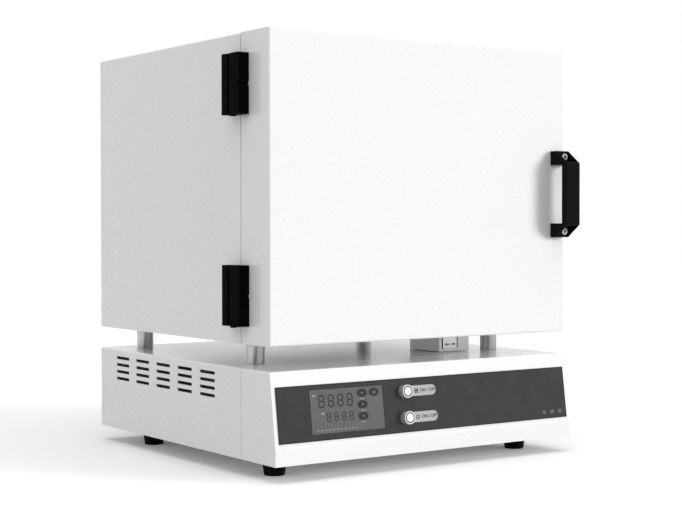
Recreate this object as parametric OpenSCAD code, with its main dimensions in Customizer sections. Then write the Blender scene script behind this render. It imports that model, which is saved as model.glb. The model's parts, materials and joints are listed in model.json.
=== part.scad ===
// Bench-top muffle furnace: an insulated chamber with a side-hung door,
// carried on four columns above a base that holds the controls.
// Lengths are in millimetres. In the modules below x runs from the left side,
// y from the face of the door towards the rear and z from the floor;
// placed() then sets the origin under the middle of the whole object.

/* [Body] */
// Width of the furnace body and of the base
width = 515; // [490:5:560]
// Depth from the face of the door to the rear cover
depth = 498; // [480:1:540]
// Height of the furnace body
body_height = 414; // [400:1:460]
// Open gap between the base and the furnace body
air_gap = 32.5; // [28:0.5:45]
// Thickness of the sheet steel
sheet = 1.5; // [1:0.1:2]
// Outer bend radius of the sheet steel
bend_r = 2.5; // [2.3:0.1:4]
// Thickness of the floor plates of the base and of the body
floor_sheet = 2; // [1.5:0.1:3]

/* [Chamber] */
// Width of the heated chamber
chamber_width = 300; // [285:1:305]
// Height of the heated chamber
chamber_height = 200; // [190:1:220]
// Depth of the heated chamber
chamber_depth = 300; // [270:1:305]
// Thickness of the hot-face boards around the chamber
hot_board = 50; // [40:1:52]
// Thickness of the hearth plate on the chamber floor
hearth_thickness = 8; // [5:0.5:12]
// Margin between the hearth plate and the side walls
hearth_margin = 34; // [32:1:45]
// Space behind the insulation for terminals and thermocouple
service_space = 33; // [28:1:40]

/* [Heating] */
// Diameter of the heating rods
rod_d = 5; // [4:0.5:6]
// Number of straight runs in each heating element
rod_rows = 6; // [4:2:6]
// Height from one run to the next
rod_pitch = 30; // [24:1:32]
// Diameter of the thermocouple sheath
sheath_d = 8; // [6:0.5:10]
// Length of the sheath inside the chamber
sheath_reach = 40; // [20:1:60]

/* [Door] */
// Thickness of the door
door_thickness = 70.5; // [64:0.5:76]
// Gap between the closed door and the furnace body
door_gap = 1.5; // [1.2:0.1:2.5]
// Angle to which the hinges let the door open
door_swing = 110; // [90:1:115]
// Length of the insulating plug beyond the back of the door
plug_reach = 30; // [15:1:34]
// Gap between the plug and the walls of the chamber mouth
plug_clearance = 4; // [3.5:0.1:6]
// Draft of the plug on each side
plug_taper = 6; // [3:0.5:10]
// Width of the fibre seal around the plug
seal_width = 14; // [10:1:20]

/* [Hinges] */
// Height of a hinge
hinge_height = 81; // [70:0.5:95]
// Width of a hinge across both of its leaves
hinge_width = 42.5; // [38:0.5:48]
// Distance that a hinge stands out from the side
hinge_out = 17; // [14:0.5:20]
// Radius of the hinge barrel
barrel_r = 5; // [4:0.1:6]
// Diameter of the hinge pin
hinge_pin_d = 5; // [4:0.1:6]
// Top of the upper hinge below the top of the body
hinge_top_inset = 28.5; // [20:0.5:60]
// Bottom of the lower hinge above the bottom of the body
hinge_bottom_inset = 24; // [15:0.5:60]
// Depth of the groove across the middle of each door leaf
hinge_groove = 3; // [1:0.5:4]

/* [Handle] */
// Height of the handle
handle_height = 127; // [110:1:140]
// Width of the handle
handle_width = 24.5; // [20:0.5:28]
// Distance that the handle stands out from the door
handle_out = 36.5; // [34:0.5:42]
// Thickness of the grip
handle_grip = 12; // [10:0.5:13]
// Height of each leg of the handle
handle_leg = 20.5; // [19.5:0.5:24]
// Length of the end chamfers along the handle
handle_chamfer = 18.5; // [17:0.5:19]
// Depth of the end chamfers
handle_chamfer_depth = 24; // [20:0.5:25]
// Thickness of the walls round the screw pockets of the handle
handle_wall = 1.5; // [1:0.1:2.5]
// Gap between the handle and the free edge of the door
handle_inset = 2; // [1:0.5:20]
// Middle of the handle below the middle of the door
handle_drop = 3.5; // [-20:0.5:20]
// Diameter of the handle screws
handle_screw_d = 6; // [4:0.5:6]

/* [Base] */
// Height of the base without its feet
base_height = 122; // [115:1:140]
// Distance that the foot of the sloping front stands forward
slope_run = 14; // [8:0.5:24]
// Height of the upright lip under the sloping front
lip_height = 22; // [15:0.5:23]
// Height of the feet
foot_height = 23; // [18:0.5:30]
// Diameter of a foot where it meets the base
foot_top_d = 35; // [32:0.5:40]
// Diameter of a foot on the floor
foot_bottom_d = 28; // [25:0.5:31]
// Foot centres in from each side
foot_side_inset = 44.5; // [35:0.5:60]
// Front foot centres behind the face of the door
foot_front_inset = 59.5; // [40:0.5:80]
// Rear foot centres in front of the rear cover
foot_rear_inset = 91; // [60:1:110]

/* [Columns] */
// Diameter of the columns
column_d = 25; // [20:0.5:30]
// Column centres in from each side
column_side_inset = 49; // [40:0.5:60]
// Front column centres behind the front of the body
column_front_inset = 42.5; // [30:0.5:50]
// Rear column centres in front of the rear cover
column_rear_inset = 54; // [40:0.5:70]
// Diameter of the column screws
column_screw_d = 8; // [6:0.5:10]

/* [Vents] */
// Number of vent slots along the side of the base
vent_columns = 5; // [3:1:5]
// Number of rows of vent slots
vent_rows = 4; // [2:1:5]
// Length of a vent slot
vent_length = 42; // [30:1:50]
// Height of a vent slot
vent_height = 4.5; // [3:0.5:5]
// Distance from one slot to the next along the side
vent_pitch = 65; // [58:1:68]
// Distance from one row of slots to the next
vent_row_pitch = 10.5; // [8:0.5:12]
// Rearmost slot centre in front of the rear cover
vent_rear_inset = 75; // [60:0.5:90]
// Top row of slots below the top of the base
vent_top_inset = 12.5; // [10:0.5:18]
// Corner radius of a vent slot
vent_corner = 1; // [0.5:0.1:1.4]

/* [Controls] */
// Thickness of the dark control panel
panel_thickness = 1.2; // [0.8:0.1:2]
// Gap between the control panel and each side of the base
panel_side_inset = 6; // [4:0.5:12]
// Top of the control panel below the front edge, along the slope
panel_top_inset = 20; // [16:0.5:22]
// Height of the control panel along the slope
panel_height = 74; // [70:0.5:75]
// Middle of the window and of the push-buttons below the front edge, along the slope
controls_drop = 56.25; // [55:0.25:58]
// Left edge of the display window from the left side
window_left = 58; // [40:0.5:70]
// Width of the display window
window_width = 118.5; // [110:0.5:122]
// Height of the display window
window_height = 58; // [55:0.5:60]
// Depth of the controller housing behind the front
controller_depth = 45; // [40:1:50]
// Width of a touch key
key_width = 16.5; // [14:0.5:17]
// Height of a touch key
key_height = 11; // [9:0.5:12]
// Distance from one touch key to the next
key_pitch = 15.5; // [13:0.5:16]
// Push-button centres from the left side
button_x = 212; // [205:0.5:220]
// Distance between the two push-buttons
button_pitch = 36; // [30:0.5:38]
// Diameter of the push-button heads
button_d = 18; // [18:0.5:22]
// Distance that the push-button heads stand out from the slope
button_out = 12; // [6:0.5:14]
// Diameter of the push-button threads
button_thread_d = 16; // [15.5:0.5:16]
// Diameter of the moving caps
cap_d = 12; // [10:0.5:12]
// Travel of the moving caps
cap_travel = 2.5; // [1:0.1:3]
// Right end of the label plates from the button centres
label_reach = 55.5; // [40:0.5:70]
// Height of the label plates
label_height = 14.5; // [12:0.5:17]

/* [Damper] */
// Depth of the air-inlet box
damper_depth = 72; // [50:1:90]
// Gap between the air-inlet box and the right side
damper_right_inset = 86; // [80:0.5:88]
// Front of the air-inlet box behind the front of the body
damper_front_inset = 44; // [30:0.5:60]
// Sheet thickness of the air-inlet box
damper_sheet = 1.2; // [0.8:0.1:1.5]
// Width of the window in the air-inlet box
damper_window = 30.5; // [24:0.5:31]
// Closing travel of the damper slide
damper_close = 4; // [3:0.5:5]
// Opening travel of the damper slide
damper_open = 14; // [8:0.5:17.5]
// Outer diameter of the inlet tube
inlet_d = 16; // [12:0.5:18]
// Inner diameter of the inlet tube
inlet_bore = 11; // [8:0.5:11]

/* [Rear] */
// Outer diameter of the exhaust tube
exhaust_d = 24; // [20:0.5:30]
// Inner diameter of the exhaust tube
exhaust_bore = 18; // [14:0.5:18]
// Distance that the exhaust tube stands out at the rear
exhaust_out = 18; // [16:0.5:30]
// Bore of the cable gland
gland_bore = 9; // [6:0.5:12]
// Distance that the cable gland stands out at the rear
gland_out = 16; // [14:0.5:16]
// Number of vent slots in each group of the rear cover
rear_vent_rows = 7; // [3:1:8]
// Length of a rear vent slot
rear_vent_length = 90; // [60:1:110]
// Height of a rear vent slot
rear_vent_height = 6; // [5:0.5:8]
// Distance from one rear vent slot to the next
rear_vent_pitch = 15; // [12:0.5:18]
// Distance between the middles of the two groups of rear vent slots
rear_vent_spread = 240; // [200:5:270]
// Lowest rear vent slot above the bottom of the body
rear_vent_rise = 45; // [30:1:60]

/* [Hidden] */
$fn = 64;

// Clearances
fit = 0.3;            // round part in its hole, or part beside part
running = 0.06;       // radial clearance of a moving round fit
board_gap = 0.5;      // insulation beside the casing
eps = 1;              // overrun of a cut

// Levels and planes
floor_z = foot_height + floor_sheet;
base_top = foot_height + base_height;
body_z0 = base_top + air_gap;
body_z1 = body_z0 + body_height;
body_y0 = door_thickness + door_gap;
rear_out = max(exhaust_out, gland_out);
frame_x = (width - hinge_out) / 2;
frame_y = (depth + rear_out - handle_out) / 2;
bezel_y1 = body_y0 - fit;
seam = 0.9;

// Insulation and chamber
board_x0 = sheet + board_gap;
board_x1 = width - board_x0;
board_z0 = body_z0 + floor_sheet;
board_z1 = body_z1 - sheet - board_gap;
board_y0 = body_y0 + sheet;
board_y1 = depth - sheet - service_space;
chamber_x0 = (width - chamber_width) / 2;
chamber_x1 = chamber_x0 + chamber_width;
chamber_z0 = body_z0 + (body_height - chamber_height) / 2;
chamber_z1 = chamber_z0 + chamber_height;
chamber_y1 = board_y0 + chamber_depth;
hot_x0 = chamber_x0 - hot_board;
hot_x1 = chamber_x1 + hot_board;
hot_z0 = chamber_z0 - hot_board;
hot_z1 = chamber_z1 + hot_board;
plug_end = door_thickness + plug_reach;

// Heating rods, in grooves of the side walls
rod_r = rod_d / 2;
rod_cover = 1;
rod_x = chamber_x0 - rod_cover - rod_r;
rod_z0 = (chamber_z0 + chamber_z1) / 2 - rod_pitch * (rod_rows - 1) / 2;
rod_z1 = rod_z0 + rod_pitch * (rod_rows - 1);
rod_front_gap = 10;
rod_rear_gap = 8;
rod_y0 = plug_end + rod_front_gap + rod_r + rod_pitch / 2;
rod_y1 = chamber_y1 - rod_rear_gap - rod_r - rod_pitch / 2;
rod_tail = 20;
hearth_end_gap = 6;
bushing_length = 12;
bushing_r = 9;

// Thermocouple and exhaust, high in the rear wall
sheath_z = chamber_z1 - 22;
sheath_tail = 12;
sheath_head_r = 14;
sheath_head_length = 20;
exhaust_side = 70;
exhaust_drop = 18;
exhaust_x = width / 2 + exhaust_side;
exhaust_z = chamber_z1 - exhaust_d / 2 - exhaust_drop;
tube_collar = 3;

// Hinge line, outside the left side and level with the door gap
hinge_x = barrel_r - hinge_out;
hinge_y = door_thickness + door_gap / 2;
hinge_pin_r = hinge_pin_d / 2;
pin_head_r = 4.3;
pin_head_h = 2;
pin_stop = 8;
leaf_gap = 0.35;
relief_r = barrel_r + leaf_gap;
hinge_z = [body_z0 + hinge_bottom_inset, body_z1 - hinge_top_inset - hinge_height];

// Catch magnets, on the free side of the door
magnet_width = 12;
magnet_height = 40;
magnet_side_inset = 18;
magnet_end_inset = 57;

// Handle
handle_x1 = width - handle_inset;
handle_x0 = handle_x1 - handle_width;
handle_z = body_z0 + body_height / 2 - handle_drop;
handle_screw_inset = 9;
handle_screw_z = handle_height / 2 - handle_screw_inset;
handle_seat = handle_out - handle_chamfer_depth - fit;
screw_head_r = handle_screw_d * 0.85;
socket_r = handle_screw_d * 0.46;
handle_screw_reach = 12;

// Sloping front
slope_angle = atan(slope_run / (base_height - lip_height));
window_drop = controls_drop - window_height / 2;
window_rim = 2;
key_thickness = 0.5;
key_right_inset = 34.5;
key_side_step = 20;
key_x = window_left + window_width - key_right_inset;
key_drop = window_drop + 8;
board_level = 12;
board_thickness = 1.6;
housing_wall = 2;
// Left edge, foot below the top of the window, width and height of each row of digits
digit_rows = [[13, 25.5, 56, 19], [23, 45, 46, 15]];
button_drop = controls_drop - button_pitch / 2;
button_drops = [button_drop, button_drop + button_pitch];
ring_r = 7.25;
ring_depth = 2;
cap_length = 9;
button_length = 22;
label_thickness = 0.8;

// Columns, feet and their screws
column_x = [column_side_inset, width - column_side_inset];
column_y = [body_y0 + column_front_inset, depth - column_rear_inset];
column_screw_r = column_screw_d / 2;
column_head_r = column_screw_r + 2.5;
column_head_h = 5;
column_thread = 11;
foot_x = [foot_side_inset, width - foot_side_inset];
foot_y = [foot_front_inset, depth - foot_rear_inset];
foot_screw_r = 2.5;
foot_screw_head_r = 5;
foot_screw_head_h = 4;
foot_recess_r = 6.5;
foot_recess = 8;
foot_boss_r = 6;
foot_boss = 6;

// Electrics in the base
sink_plate = 8;
sink_length = 100;
sink_width = 125;
sink_height = 36;
sink_side_inset = 65;
sink_rear_inset = 60;
sink_x0 = width - sink_width - sink_side_inset;
sink_y0 = depth - sink_length - sink_rear_inset;
relay_width = 44;
relay_length = 58;
relay_height = 24;
contactor_shift = 50;
contactor_rear_inset = 120;
contactor_x0 = width / 2 - contactor_shift;
contactor_y0 = depth - contactor_rear_inset;
contactor_width = 45;
contactor_length = 70;
contactor_height = 50;
coil_width = 35;
coil_length = 42;
coil_height = 18;
terminals_x0 = 60;
terminals_rear_inset = 90;
terminals_y0 = depth - terminals_rear_inset;
terminals_length = 26;
terminals_height = 24;
clamp_pitch = 13;
clamp_wall = 3;
clamp_length = 9;
clamp_height = 14;
gland_x = 95;
gland_z = foot_height + 42;
gland_thread_r = 10;

// Air inlet; the box is as wide as the travel of its slide needs
slide_length = damper_window + 1.5;
slide_rest_inset = 4.6;
slide_play = 1.7;
damper_width = slide_rest_inset + damper_close + slide_length + damper_open + slide_play + damper_sheet;
damper_x1 = width - damper_right_inset;
damper_x0 = damper_x1 - damper_width;
damper_y0 = body_y0 + damper_front_inset;
damper_y1 = damper_y0 + damper_depth;
damper_z0 = base_top + 0.6;
damper_rim = 4.2;
window_x0 = damper_x0 + slide_rest_inset + 0.7;
slide_x0 = damper_x0 + slide_rest_inset + damper_close;
slide_thickness = 1.5;
slide_y0 = damper_y0 + damper_sheet + fit;
guide_height = 4;
inlet_x = damper_x0 + 20.5;
inlet_y = damper_y0 + damper_depth / 2;
inlet_collar_r = inlet_d / 2 + 4;

// Rear screws
screw_r = 2;
screw_head = 2;
cover_head_r = 3.8;
screw_length = 8;
flange = 14;
screw_x = [sheet + flange / 2, width - sheet - flange / 2];
base_screw_inset = 25;
base_screw_z = [foot_height + base_screw_inset, base_top - base_screw_inset];
body_screw_inset = 30;
body_screw_z = [body_z0 + body_screw_inset, (body_z0 + body_z1) / 2, body_z1 - body_screw_inset];

// ---------------------------------------------------------------- helpers

module placed() {
    translate([-frame_x, -frame_y, 0]) children();
}

// Extrudes a profile drawn in x and z from y0 to y1
module along_y(y0, y1) {
    translate([0, y1, 0]) rotate([90, 0, 0]) linear_extrude(y1 - y0) children();
}

// Extrudes a profile drawn in y and z from x0 to x1
module along_x(x0, x1) {
    translate([x0, 0, 0]) rotate([90, 0, 90]) linear_extrude(x1 - x0) children();
}

// Round bar along y
module bar_y(x, z, y0, y1, r) {
    translate([x, y0, z]) rotate([-90, 0, 0]) cylinder(h = y1 - y0, r = r);
}

// Hexagonal bar along y, on the axis
module hex_y(y0, y1, r) {
    translate([0, y0, 0]) rotate([-90, 0, 0]) cylinder(h = y1 - y0, r = r, $fn = 6);
}

module block(x0, x1, y0, y1, z0, z1) {
    translate([x0, y0, z0]) cube([x1 - x0, y1 - y0, z1 - z0]);
}

// Upright rectangle with its two top corners rounded
module arch2d(x0, x1, z0, z1, r) {
    translate([x0, z0]) square([x1 - x0, z1 - z0 - r]);
    translate([x0 + r, z0]) square([x1 - x0 - 2 * r, z1 - z0]);
    for (x = [x0 + r, x1 - r]) translate([x, z1 - r]) circle(r);
}

// Rectangle whose two corners on the y = 0 side are rounded
module front_rounded2d(w, d, r) {
    translate([0, r]) square([w, d - r]);
    translate([r, 0]) square([w - 2 * r, d]);
    for (x = [r, w - r]) translate([x, r]) circle(r);
}

// Vent slot with rounded corners, centred, long side along x
module slot2d(length, height) {
    square([length - 2 * vent_corner, height], center = true);
    square([length, height - 2 * vent_corner], center = true);
    for (x = [-1, 1], y = [-1, 1])
        translate([x * (length / 2 - vent_corner), y * (height / 2 - vent_corner)]) circle(vent_corner);
}

module ellipse2d(w, h, points = 40) {
    polygon([for (i = [0 : points - 1]) [w / 2 * cos(i * 360 / points), h / 2 * sin(i * 360 / points)]]);
}

// Puts children on the sloping front: x as before, y up the slope, z straight out of it
module on_slope() {
    translate([0, 0, base_top]) rotate([90 - slope_angle, 0, 0]) children();
}

module at_columns() {
    for (x = column_x, y = column_y) translate([x, y, 0]) children();
}

module at_feet() {
    for (x = foot_x, y = foot_y) translate([x, y, 0]) children();
}

// ------------------------------------------------------------------- base

module base_floor() {
    color("silver") placed() difference() {
        union() {
            block(sheet, width - sheet, sheet - slope_run, depth - sheet, foot_height, floor_z);
            at_feet() translate([0, 0, floor_z]) cylinder(h = foot_boss, r = foot_boss_r);
        }
        at_feet() translate([0, 0, foot_height - eps])
            cylinder(h = floor_sheet + foot_boss + 2 * eps, r = foot_screw_r + fit / 2);
    }
}

module vent_slots() {
    for (i = [0 : vent_columns - 1], j = [0 : vent_rows - 1])
        translate([0, -vent_rear_inset - i * vent_pitch, -vent_top_inset - j * vent_row_pitch])
            rotate([90, 0, 90]) linear_extrude(width + 2 * eps) slot2d(vent_length, vent_height);
}

module base_cover() {
    color("whitesmoke") placed() difference() {
        union() {
            difference() {
                along_y(bezel_y1 + seam, depth - sheet) arch2d(0, width, foot_height, base_top, bend_r);
                along_y(bezel_y1 + seam - eps, depth - sheet + eps)
                    arch2d(sheet, width - sheet, foot_height - eps, base_top - sheet, bend_r - sheet);
            }
            for (x = [sheet, width - flange])
                block(x, x + flange - sheet, depth - 2 * sheet, depth - sheet,
                    floor_z + fit, base_top - sheet);
        }
        translate([-eps, depth, base_top]) vent_slots();
        at_columns() translate([0, 0, base_top - sheet - eps])
            cylinder(h = sheet + 2 * eps, r = column_screw_r + fit);
        base_screw_holes(screw_r + running);
    }
}

module base_screw_holes(r) {
    for (x = screw_x, z = base_screw_z) bar_y(x, z, depth - 3 * sheet, depth + eps, r);
}

module base_rear_panel() {
    color("whitesmoke") placed() difference() {
        along_y(depth - sheet, depth) arch2d(0, width, foot_height, base_top, bend_r);
        base_screw_holes(screw_r + fit);
        bar_y(gland_x, gland_z, depth - sheet - eps, depth + eps, gland_thread_r + fit / 2);
    }
}

module bezel_profile() {
    polygon([
        [0, base_top],
        [-slope_run, foot_height + lip_height],
        [-slope_run, foot_height],
        [bezel_y1, foot_height],
        [bezel_y1, base_top]
    ]);
}

// Horizontal place of the inner face of the slope at height z
function inner_slope(z) = sheet / cos(slope_angle) - (base_top - z) * tan(slope_angle);

module bezel_cavity_profile() {
    top = base_top - sheet;
    lip_y = sheet - slope_run;
    lip_z = base_top - (sheet / cos(slope_angle) - lip_y) / tan(slope_angle);
    polygon([
        [inner_slope(top), top],
        [lip_y, lip_z],
        [lip_y, foot_height - eps],
        [bezel_y1 + eps, foot_height - eps],
        [bezel_y1 + eps, top]
    ]);
}

module front_bezel() {
    color("whitesmoke") placed() difference() {
        intersection() {
            along_x(0, width) bezel_profile();
            along_y(-slope_run - eps, bezel_y1 + eps) arch2d(0, width, foot_height - eps, base_top, bend_r);
        }
        along_x(sheet, width - sheet) bezel_cavity_profile();
        on_slope() translate([0, 0, -2 * sheet]) linear_extrude(3 * sheet) {
            window_outline(-window_rim);
            button_centres() circle(button_thread_d / 2 + fit / 2);
        }
    }
}

// --------------------------------------------------------------- controls

// Outline of the display window, grown by g on every side
module window_outline(g) {
    translate([window_left - g, -window_drop - window_height - g])
        square([window_width + 2 * g, window_height + 2 * g]);
}

module button_centres() {
    for (s = button_drops) translate([button_x, -s]) children();
}

module control_panel() {
    color([0.26, 0.26, 0.27]) placed() on_slope() linear_extrude(panel_thickness) difference() {
        translate([panel_side_inset, -panel_top_inset - panel_height])
            square([width - 2 * panel_side_inset, panel_height]);
        window_outline(0);
        button_centres() circle(button_thread_d / 2 + fit / 2);
    }
}

module display_window() {
    color([0.42, 0.42, 0.43]) placed() on_slope() linear_extrude(panel_thickness) window_outline(-fit / 3);
}

module controller_housing() {
    post_r = 3;
    post_inset = 10;
    color([0.12, 0.12, 0.13]) placed() on_slope() {
        difference() {
            translate([0, 0, -controller_depth]) linear_extrude(controller_depth)
                window_outline(-window_rim - fit);
            translate([0, 0, housing_wall - controller_depth]) linear_extrude(controller_depth)
                window_outline(-window_rim - fit - housing_wall);
        }
        for (x = [post_inset, window_width - post_inset], s = [post_inset, window_height - post_inset])
            translate([window_left + x, -window_drop - s, housing_wall - controller_depth])
                cylinder(h = controller_depth - housing_wall - board_level, r = post_r);
    }
}

module controller_board() {
    color("darkgreen") placed() on_slope() translate([0, 0, -board_level])
        linear_extrude(board_thickness) window_outline(-window_rim - housing_wall - 2 * fit);
}

module digit_displays() {
    height = board_level - board_thickness - fit;
    color([0.2, 0.2, 0.22]) placed() on_slope()
        translate([window_left, -window_drop, board_thickness - board_level])
            for (row = digit_rows) translate([row[0], -row[1], 0]) cube([row[2], row[3], height]);
}

module touch_keys() {
    color([0.25, 0.26, 0.31]) placed() on_slope() translate([0, 0, panel_thickness])
        linear_extrude(key_thickness) {
            for (i = [0 : 2]) translate([key_x, -key_drop - i * key_pitch])
                ellipse2d(key_width, key_height);
            translate([key_x + key_side_step, -key_drop]) ellipse2d(key_width, key_height);
        }
}

module label_plates() {
    end_r = label_height / 2;
    color([0.82, 0.83, 0.84]) placed() on_slope() translate([0, 0, panel_thickness])
        linear_extrude(label_thickness) button_centres() difference() {
            union() {
                translate([0, -end_r]) square([label_reach - end_r, label_height]);
                translate([label_reach - end_r, 0]) circle(end_r);
            }
            circle(button_d / 2 + fit);
        }
}

// Puts children on one button's axis, z = 0 at the sheet of the slope
module at_button(index) {
    on_slope() translate([button_x, -button_drops[index], 0]) children();
}

module button_housing(index) {
    well = cap_length + cap_travel + 1;
    head = button_out - panel_thickness;
    thread = button_length + panel_thickness;
    color([0.75, 0.76, 0.78]) placed() at_button(index) difference() {
        union() {
            translate([0, 0, panel_thickness]) cylinder(h = head, r = button_d / 2);
            translate([0, 0, -button_length]) cylinder(h = thread, r = button_thread_d / 2);
        }
        translate([0, 0, button_out - ring_depth]) cylinder(h = ring_depth + eps, r = ring_r + running);
        translate([0, 0, button_out - well]) cylinder(h = well + eps, r = cap_d / 2 + running);
    }
}

module button_cap(index) {
    color("white") placed() at_button(index) translate([0, 0, button_out - cap_length])
        cylinder(h = cap_length, r = cap_d / 2);
}

module button_rings() {
    color([0.15, 0.15, 0.15]) placed() on_slope() translate([0, 0, button_out - ring_depth])
        linear_extrude(ring_depth - fit / 2) button_centres() difference() {
            circle(ring_r);
            circle(cap_d / 2 + running);
        }
}

module button_nuts() {
    nut_height = 3;
    nut_rim = 3;
    color("gray") placed() on_slope() translate([0, 0, -sheet - nut_height]) linear_extrude(nut_height)
        button_centres() difference() {
            circle(button_thread_d / 2 + nut_rim, $fn = 6);
            circle(button_thread_d / 2 + running);
        }
}

// ------------------------------------------------------ feet and columns

module feet() {
    color([0.06, 0.06, 0.06]) placed() at_feet() difference() {
        cylinder(h = foot_height, r1 = foot_bottom_d / 2, r2 = foot_top_d / 2);
        translate([0, 0, -eps]) cylinder(h = foot_height + 2 * eps, r = foot_screw_r + fit / 2);
        translate([0, 0, -eps]) cylinder(h = foot_recess + eps, r = foot_recess_r);
    }
}

module foot_screws() {
    length = floor_z + foot_boss - foot_recess;
    color("silver") placed() at_feet() translate([0, 0, foot_recess]) {
        cylinder(h = length, r = foot_screw_r);
        translate([0, 0, -foot_screw_head_h]) cylinder(h = foot_screw_head_h, r = foot_screw_head_r);
    }
}

module columns() {
    color([0.7, 0.7, 0.69]) placed() at_columns() difference() {
        translate([0, 0, base_top]) cylinder(h = air_gap, r = column_d / 2);
        for (z = [base_top - eps, body_z0 - column_thread - eps]) translate([0, 0, z])
            cylinder(h = column_thread + 2 * eps, r = column_screw_r + running);
    }
}

module column_screws() {
    color("silver") placed() at_columns() {
        translate([0, 0, base_top - sheet]) cylinder(h = sheet + column_thread, r = column_screw_r);
        translate([0, 0, base_top - sheet - column_head_h])
            cylinder(h = column_head_h, r = column_head_r);
        translate([0, 0, body_z0 - column_thread])
            cylinder(h = floor_sheet + column_thread, r = column_screw_r);
        translate([0, 0, board_z0]) cylinder(h = column_head_h, r = column_head_r);
    }
}

// Room for the upper screw heads in the insulation
module column_head_pockets() {
    at_columns() translate([0, 0, board_z0 - eps])
        cylinder(h = column_head_h + eps + fit, r = column_head_r + fit);
}

// --------------------------------------------------- electrics in the base

// Plate with a block of fins; the rest of the plate carries the relay
module heat_sink() {
    fins = 9;
    fin = 2;
    fin_block = 75;
    fin_pitch = (fin_block - fin) / (fins - 1);
    color([0.66, 0.67, 0.68]) placed() translate([sink_x0, sink_y0, floor_z]) {
        cube([sink_width, sink_length, sink_plate]);
        for (i = [0 : fins - 1]) translate([i * fin_pitch, 0, 0]) cube([fin, sink_length, sink_height]);
    }
}

module solid_state_relay() {
    relay = [relay_width, relay_length, relay_height];
    notch = [12, 10, 8];
    notch_x = [4, relay[0] - notch[0] - 4];
    edge = 1;
    relay_y0 = sink_y0 + (sink_length - relay[1]) / 2;
    color([0.1, 0.1, 0.11]) placed()
        translate([sink_x0 + sink_width - relay[0] - edge, relay_y0, floor_z + sink_plate]) difference() {
            cube(relay);
            for (x = notch_x, y = [-eps, relay[1] - notch[1]]) translate([x, y, relay[2] - notch[2]])
                cube([notch[0], notch[1] + eps, notch[2] + eps]);
        }
}

module power_contactor() {
    body = [contactor_width, contactor_length, contactor_height];
    coil = [coil_width, coil_length, coil_height];
    color([0.82, 0.82, 0.8]) placed() translate([contactor_x0, contactor_y0, floor_z]) {
        cube(body);
        translate([(body[0] - coil[0]) / 2, (body[1] - coil[1]) / 2, body[2]]) cube(coil);
    }
}

// Row of clamps between thin walls, open at both sides and at the top
module terminal_block() {
    ways = 6;
    block_size = [ways * clamp_pitch + clamp_wall, terminals_length, terminals_height];
    recess = [clamp_pitch - clamp_wall, clamp_length, clamp_height];
    color([0.15, 0.15, 0.16]) placed() translate([terminals_x0, terminals_y0, floor_z]) difference() {
        cube(block_size);
        for (i = [0 : ways - 1], y = [-eps, block_size[1] - recess[1]])
            translate([clamp_wall + i * clamp_pitch, y, block_size[2] - recess[2]])
                cube([recess[0], recess[1] + eps, recess[2] + eps]);
    }
}

// Threaded body with a lock nut inside the panel and a clamping nut outside
module cable_gland() {
    nut_rim = 4;
    lock_nut = 5;
    clamp_nut = 6;
    thread_tail = 10;
    inside = depth - sheet;
    color([0.08, 0.08, 0.08]) placed() translate([gland_x, 0, gland_z]) difference() {
        union() {
            bar_y(0, 0, inside - thread_tail, depth + clamp_nut, gland_thread_r);
            hex_y(inside - lock_nut, inside, gland_thread_r + nut_rim);
            hex_y(depth, depth + clamp_nut, gland_thread_r + nut_rim);
            translate([0, depth + clamp_nut, 0]) rotate([-90, 0, 0])
                cylinder(h = gland_out - clamp_nut, r1 = gland_thread_r + 1, r2 = gland_thread_r - 2);
        }
        bar_y(0, 0, inside - thread_tail - eps, depth + gland_out + eps, gland_bore / 2);
    }
}

// ----------------------------------------------------------- furnace body

module casing_wrap() {
    color("whitesmoke") placed() difference() {
        union() {
            difference() {
                along_y(body_y0, depth - sheet) arch2d(0, width, body_z0, body_z1, bend_r);
                along_y(body_y0 - eps, depth - sheet + eps)
                    arch2d(sheet, width - sheet, body_z0 - eps, body_z1 - sheet, bend_r - sheet);
            }
            for (x = [sheet, width - flange])
                block(x, x + flange - sheet, depth - 2 * sheet, depth - sheet,
                    board_z0, body_z1 - sheet - fit);
        }
        casing_screw_holes(screw_r + running);
    }
}

module casing_screw_holes(r) {
    for (x = screw_x, z = body_screw_z) bar_y(x, z, depth - 3 * sheet, depth + eps, r);
}

module casing_floor() {
    color("silver") placed() difference() {
        block(sheet, width - sheet, body_y0, depth - sheet, body_z0, board_z0);
        at_columns() translate([0, 0, body_z0 - eps])
            cylinder(h = floor_sheet + 2 * eps, r = column_screw_r + fit);
        translate([inlet_x, inlet_y, body_z0 - eps])
            cylinder(h = floor_sheet + 2 * eps, r = inlet_d / 2 + fit);
    }
}

module casing_rear() {
    vent_z0 = body_z0 + rear_vent_rise;
    color("whitesmoke") placed() difference() {
        along_y(depth - sheet, depth) arch2d(0, width, body_z0, body_z1, bend_r);
        for (side = [-1, 1], i = [0 : rear_vent_rows - 1])
            translate([(width + side * rear_vent_spread) / 2, 0, vent_z0 + i * rear_vent_pitch])
                along_y(depth - sheet - eps, depth + eps) slot2d(rear_vent_length, rear_vent_height);
        bar_y(exhaust_x, exhaust_z, depth - sheet - eps, depth + eps, exhaust_d / 2 + fit);
        casing_screw_holes(screw_r + fit);
    }
}

module cover_screw(x, z) {
    bar_y(x, z, depth - screw_length, depth, screw_r);
    bar_y(x, z, depth, depth + screw_head, cover_head_r);
}

module cover_screws() {
    color([0.8, 0.8, 0.8]) placed()
        for (x = screw_x, z = concat(base_screw_z, body_screw_z)) cover_screw(x, z);
}

module front_frame() {
    color([0.75, 0.75, 0.74]) placed() difference() {
        along_y(body_y0, board_y0)
            arch2d(sheet, width - sheet, board_z0, body_z1 - sheet, bend_r - sheet);
        block(chamber_x0, chamber_x1, body_y0 - eps, board_y0 + eps, chamber_z0, chamber_z1);
    }
}

// -------------------------------------------------- chamber and insulation

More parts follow.
